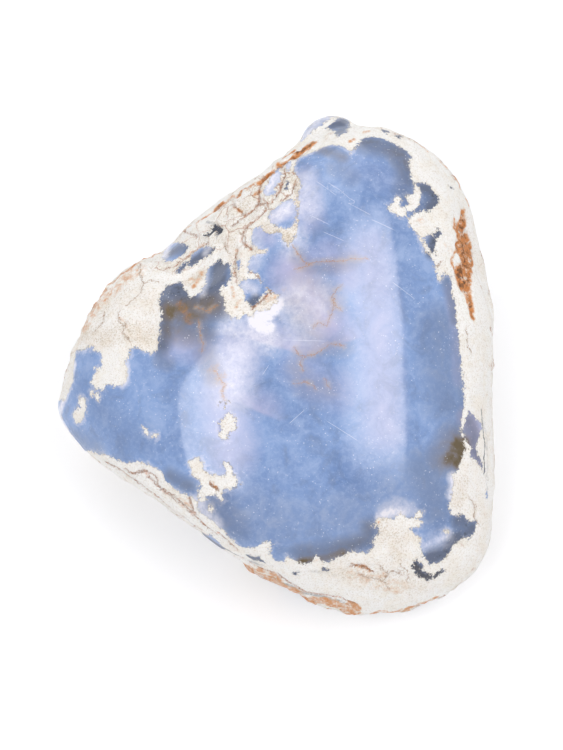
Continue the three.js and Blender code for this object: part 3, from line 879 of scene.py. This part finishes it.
# Each drawn line: its name, half its width and its wander in mm, how much of it shows, its colour
BLUE_LINES = [
    ("healed", 0.06, 2.4, 0.75, HEALED_LINE),
    ("scratch", 0.032, 0.1, 0.6, FLECK_COLOUR),
]
blue_colour = tinted(linear(BLUE_DEEP), BLUE_TINTS)
blue_colour, _ = lined(blue_colour, BLUE_LINES)

# White flecks in the blue, in drifts
FLECK_SPACING = 0.6
FLECK_SIZE = 0.2
FLECK_DRIFTS = (0.42, 0.6)
FLECK_GAPS = (0.44, 0.54)
fleck = add(tree, "TexVoronoi", {"Vector": place, "Scale": 1000 / FLECK_SPACING})
drift = add(tree, "MapRange", (grains["clump"], *FLECK_DRIFTS))
loose = add(tree, "MapRange", (grains["felt"], *FLECK_GAPS))
thrown = add(tree, "Math", (drift, loose), operation="MULTIPLY")
round_fleck = add(tree, "MapRange", (fleck, FLECK_SIZE, FLECK_SIZE * 0.4))
fleck_share = add(tree, "Math", (round_fleck, thrown), operation="MULTIPLY")
blue_colour = add(
    tree, "Mix", {0: fleck_share, 6: blue_colour, 7: linear(FLECK_COLOUR)}, output=2, data_type="RGBA")

RIND_TINTS = [
    ("everywhere", "clump", 1.0, 0.95, 1.12, 1.0, CREAM_COLOUR),
    ("everywhere", "sand", 1.0, 1.03, 1.1, 0.28, SAND_COLOUR),
    ("on_side", "wisp", 5.0, 0.9, 1.6, 0.2, SAND_COLOUR),
    ("sandy_edge", "sand", 3.0, 0.8, 1.5, 0.75, SAND_COLOUR),
    ("sand", "crumb", 2.4, 0.3, 1.4, 0.55, BLUSH_COLOUR),
    ("sand", "sand", 3.0, 0.5, 1.4, 0.75, SAND_COLOUR),
    ("crackled", "sand", 3.0, 0.7, 1.5, 0.4, SAND_COLOUR),
    ("grey", "crumb", 4.0, 0.3, 1.1, 0.8, GREY_COLOUR),
    ("rust", "crumb", 5.0, 0.2, 0.8, 0.9, RUST_PALE),
    ("rust", "crumb", 4.4, 0.42, 1.08, 0.92, RUST_COLOUR),
    ("rust", "speck", 4.0, 0.95, 1.7, 0.9, RUST_DARK),
    ("crack_near", "crumb", 5.0, 0.75, 1.5, 0.7, RUST_COLOUR),
]
RIND_LINES = [
    ("crack", 0.09, 3.6, 0.9, CRACK_COLOUR),
    ("hair", 0.07, 2.6, 0.8, HAIR_COLOUR),
    ("gap", 0.13, 1.0, 1.0, GAP_COLOUR),
]
rind_colour = tinted(linear(CHALK_COLOUR), RIND_TINTS)
rind_colour, groove = lined(rind_colour, RIND_LINES)

# A net of hair cracks in the rind, plain where it is crackled and barely there elsewhere, and long
# cracks that wander round the sides
NET_SIZE = 4.6  # mm across one of its meshes
NET_WIDTH = 0.035  # share of that
NET_WANDER = 1.4
NET_WANDER_WIDTH = 2.0
NET_PLACES = (0.6, 0.85)
NET_STRENGTH = 0.6
CRACKLE_PULL = 0.3  # how much more of the net shows where the rind is crackled
SEAM_WIDTH = 0.007  # share of the range of the grain that they follow
SEAM_PLACES = (0.36, 0.52)
SEAM_STRENGTH = 0.85
LINE_CORE = 0.3  # share of a hair crack's width where it is darkest
warp = add(
    tree, "TexNoise", {"Vector": place, "Scale": 1000 / NET_WANDER_WIDTH, "Detail": 4.0, "Roughness": 0.7},
    output="Color")
pushed = add(tree, "VectorMath", (warp, [NET_WANDER / 1000] * 3, place), operation="MULTIPLY_ADD")
net = add(tree, "TexVoronoi", {"Vector": pushed, "Scale": 1000 / NET_SIZE}, feature="DISTANCE_TO_EDGE")
net_line = add(tree, "MapRange", (net, NET_WIDTH, NET_WIDTH * LINE_CORE))
net_part = add(tree, "Math", (marks["crackled"], CRACKLE_PULL, grains["clump"]), operation="MULTIPLY_ADD")
net_strength = add(tree, "MapRange", (net_part, *NET_PLACES, 0.0, NET_STRENGTH))
net_share = add(tree, "Math", (net_line, net_strength), operation="MULTIPLY")
seam_off = add(tree, "Math", (grains["seam"], 0.5), operation="SUBTRACT")
seam_away = add(tree, "Math", (seam_off,), operation="ABSOLUTE")
seam_line = add(tree, "MapRange", (seam_away, SEAM_WIDTH, SEAM_WIDTH * LINE_CORE))
seam_part = add(tree, "Math", (grains["clump"], marks["on_side"]), operation="MULTIPLY")
seam_strength = add(tree, "MapRange", (seam_part, *SEAM_PLACES, 0.0, SEAM_STRENGTH))
seam_share = add(tree, "Math", (seam_line, seam_strength), operation="MULTIPLY")
hair = add(tree, "Math", (net_share, seam_share), operation="MAXIMUM")
rind_colour = add(
    tree, "Mix", {0: hair, 6: rind_colour, 7: linear(CRACK_COLOUR)}, output=2, data_type="RGBA")
groove = add(tree, "Math", (groove, hair), operation="MAXIMUM")
stone_colour = add(
    tree, "Mix", {0: blueness, 6: rind_colour, 7: blue_colour}, output=2, data_type="RGBA")

# Gloss and grain
BLUE_ROUGHNESS = 0.06
ROUGHNESS_RANGE = 0.06
SIDE_DULLNESS = 0.35
RIND_ROUGHNESS = 0.9
IOR_ANHYDRITE = 1.57
SPECK_RELIEF = 0.42  # mm between the low and high grains of the rind
SAND_RELIEF = 0.2
GROOVE_DEPTH = 0.07
EDGE_STEP = 0.08  # mm that the blue stands over the rind at its very edge
polish = add(tree, "Math", (grains["felt"], ROUGHNESS_RANGE, BLUE_ROUGHNESS), operation="MULTIPLY_ADD")
blue_roughness = add(tree, "Math", (marks["on_side"], SIDE_DULLNESS, polish), operation="MULTIPLY_ADD")
roughness = add(tree, "Mix", {0: blueness, 2: RIND_ROUGHNESS, 3: blue_roughness})
specks = add(tree, "Math", (grains["speck"], SPECK_RELIEF), operation="MULTIPLY")
sandy = add(tree, "Math", (grains["sand"], SAND_RELIEF, specks), operation="MULTIPLY_ADD")
rind_relief = add(tree, "Math", (groove, -GROOVE_DEPTH, sandy), operation="MULTIPLY_ADD")
blue_relief = (SPECK_RELIEF + SAND_RELIEF) / 2 + EDGE_STEP
relief = add(tree, "Mix", {0: blueness, 2: rind_relief, 3: blue_relief})
bump = add(tree, "Bump", {"Height": relief, "Distance": 0.001, "Strength": 1.0})
shader = add(tree, "BsdfPrincipled", {
    "Base Color": stone_colour, "Roughness": roughness, "IOR": IOR_ANHYDRITE, "Normal": bump,
})
add(tree, "OutputMaterial", {"Surface": shader})
stone.data.materials.clear()
stone.data.materials.append(angelite)

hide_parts("angelite_stone")
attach(stone, "root")

# White paper lies under the stone, and is lit past white but for the stone's own soft shade.
PAPER_SIZE = 4.0  # m
PAPER_GLOW = 0.14
PAPER_COLOUR = "#F5F7FA"
bpy.ops.object.select_all(action="DESELECT")
bpy.ops.mesh.primitive_plane_add(size=PAPER_SIZE)
paper = bpy.context.object
paper.name = "paper"
paper_material = bpy.data.materials.new("Paper, white, matt")
paper_material.use_nodes = True
paper_shader = paper_material.node_tree.nodes["Principled BSDF"]
paper_shader.inputs["Base Color"].default_value = linear(PAPER_COLOUR)
paper_shader.inputs["Roughness"].default_value = 0.95
paper_shader.inputs["Specular IOR Level"].default_value = 0.1
paper_shader.inputs["Emission Color"].default_value = (1, 1, 1, 1)
paper_shader.inputs["Emission Strength"].default_value = PAPER_GLOW
paper.data.materials.append(paper_material)

# Two softboxes stand either side of the camera, a strip on the right and an octagon on the left.
# Each has a hard outer edge and fades inwards, and shows in the tumbled face as a pale band.
SOFTBOX_DISTANCE = 620.0
LAMP_COLOUR = "#FFFBFA"
SOFT_END = 0.2  # share of the height over which each end fades
SOFTBOXES = [
    # name, sides, degrees right of the camera from inner to outer edge, degrees up from low to high,
    # strength
    ("right_softbox", 4, (16, 38.5), (-12, 36), 4.9),
    ("left_softbox", 8, (-5, -34), (-22, 17), 4.8),
]
for name, sides, (inner, outer), (low, high), strength in SOFTBOXES:
    turn = math.radians((inner + outer) / 2)
    lift = math.radians((low + high) / 2)
    outward = TOWARDS_CAMERA * math.cos(turn) + PICTURE_RIGHT * math.sin(turn)
    direction = outward * math.cos(lift) + PICTURE_UP * math.sin(lift)
    width = 2 * SOFTBOX_DISTANCE * math.tan(math.radians(abs(outer - inner) / 2))
    height = 2 * SOFTBOX_DISTANCE * math.tan(math.radians((high - low) / 2))
    half_side = math.pi / sides
    bpy.ops.object.select_all(action="DESELECT")
    bpy.ops.mesh.primitive_circle_add(
        vertices=sides, radius=0.5 / math.cos(half_side), fill_type="NGON", rotation=(0, 0, half_side))
    bpy.ops.object.transform_apply(location=False, rotation=True, scale=False)
    softbox = bpy.context.object
    softbox.name = name
    back = Vector(direction)
    right = Vector(PICTURE_UP).cross(back).normalized()
    softbox.rotation_euler = Matrix((right, back.cross(right), back)).transposed().to_euler()
    softbox.location = (MIDDLE_SPOT + SOFTBOX_DISTANCE * direction) / 1000
    softbox.scale = (width / 1000, height / 1000, 1)
    cloth = bpy.data.materials.new("Nylon diffuser, white, lit from behind")
    cloth.use_nodes = True
    cloth_tree = cloth.node_tree
    cloth_tree.nodes.clear()
    on_cloth = add(cloth_tree, "TexCoord", output="Object")
    across = add(cloth_tree, "SeparateXYZ", (on_cloth,), output="X")
    along = add(cloth_tree, "SeparateXYZ", (on_cloth,), output="Y")
    outer_side = math.copysign(1, outer - inner)
    fade = add(
        cloth_tree, "MapRange", (across, -0.5 * outer_side, -0.05 * outer_side, 0.0, strength),
        interpolation_type="SMOOTHSTEP")
    off_middle = add(cloth_tree, "Math", (along,), operation="ABSOLUTE")
    ends = add(cloth_tree, "MapRange", (off_middle, 0.5, 0.5 - SOFT_END), interpolation_type="SMOOTHSTEP")
    power = add(cloth_tree, "Math", (fade, ends), operation="MULTIPLY")
    emission = add(cloth_tree, "Emission", (linear(LAMP_COLOUR), power))
    add(cloth_tree, "OutputMaterial", (emission,))
    softbox.data.materials.append(cloth)

# A broad soft light high behind the stone, and the room's own even light
TOP_LIGHT_ENERGY = 2.05
TOP_LIGHT_SIZE = 0.9
TOP_LIGHT_PLACE = Vector((-0.12, 0.66, 0.64))
AIMED_AT = Vector((0.0, 0.0, 0.03))
ROOM_STRENGTH = 0.58
bpy.ops.object.light_add(type="AREA", location=TOP_LIGHT_PLACE)
top_light = bpy.context.object
top_light.data.shape = "DISK"
top_light.data.size = TOP_LIGHT_SIZE
top_light.data.energy = TOP_LIGHT_ENERGY
top_light.rotation_euler = (TOP_LIGHT_PLACE - AIMED_AT).to_track_quat("Z", "Y").to_euler()
room = bpy.data.worlds.new("White room")
room.use_nodes = True
room.node_tree.nodes["Background"].inputs["Color"].default_value = (1, 1, 1, 1)
room.node_tree.nodes["Background"].inputs["Strength"].default_value = ROOM_STRENGTH
bpy.context.scene.world = room
bpy.context.scene.view_settings.view_transform = "Standard"
